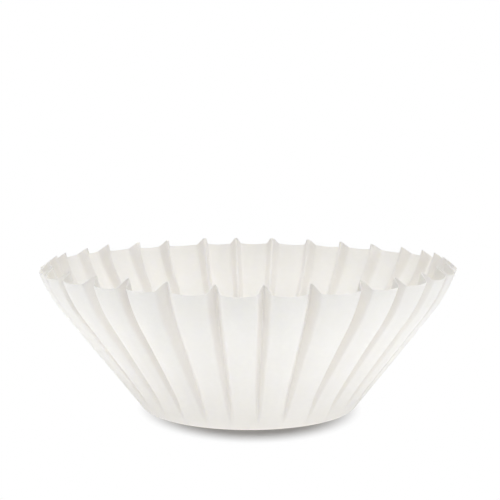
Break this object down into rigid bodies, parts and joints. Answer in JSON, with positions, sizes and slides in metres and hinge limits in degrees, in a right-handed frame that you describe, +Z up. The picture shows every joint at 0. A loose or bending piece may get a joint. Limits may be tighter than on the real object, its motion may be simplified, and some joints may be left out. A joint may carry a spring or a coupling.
{
  "type": "paper coffee filter",
  "caption": "Fluted paper basket coffee filter: a flat round base and a leaning wall of broad ridges with narrow grooves folded inwards between them, and a zigzag rim",
  "frame": {"origin": "middle of the underside of the flat base, on the surface that the filter stands on", "axes": "+Z up along the axis of the cup, +X through the middle of a ridge"},
  "size_m": [0.1664, 0.1662, 0.0595],
  "materials": {
    "filter_paper": "uncoated bleached crepe paper, matt and slightly warm white"
  },
  "bodies": {
    "root": {"coffee_filter": "filter_paper"}
  },
  "joints": []
}
